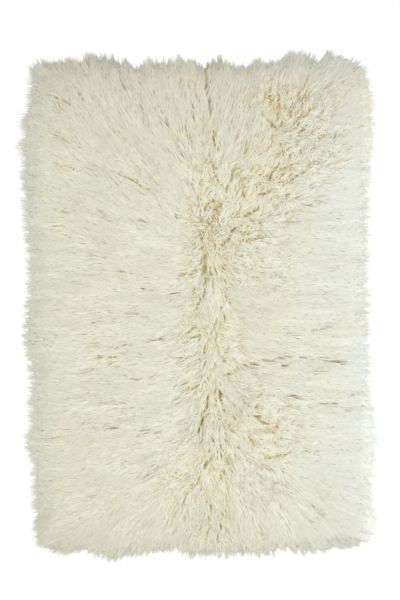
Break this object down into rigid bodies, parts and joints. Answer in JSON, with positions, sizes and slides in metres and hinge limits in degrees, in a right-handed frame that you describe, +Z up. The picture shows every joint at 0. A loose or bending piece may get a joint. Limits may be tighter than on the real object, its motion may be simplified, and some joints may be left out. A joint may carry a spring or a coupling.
{
  "type": "shag rug",
  "caption": "Rectangular long-pile wool shag rug lying flat, its locks combed outwards from a spine down the middle and hanging over the edge all round.",
  "frame": {"origin": "middle of the ground cloth's underside, on the floor", "axes": "+X across the rug, +Y along it towards its head end, +Z up out of the pile"},
  "size_m": [1.5226, 2.1448, 0.0634],
  "materials": {
    "wool": "matt undyed wool, long shaggy pile"
  },
  "bodies": {
    "root": {"shag_rug": "wool"}
  },
  "joints": []
}
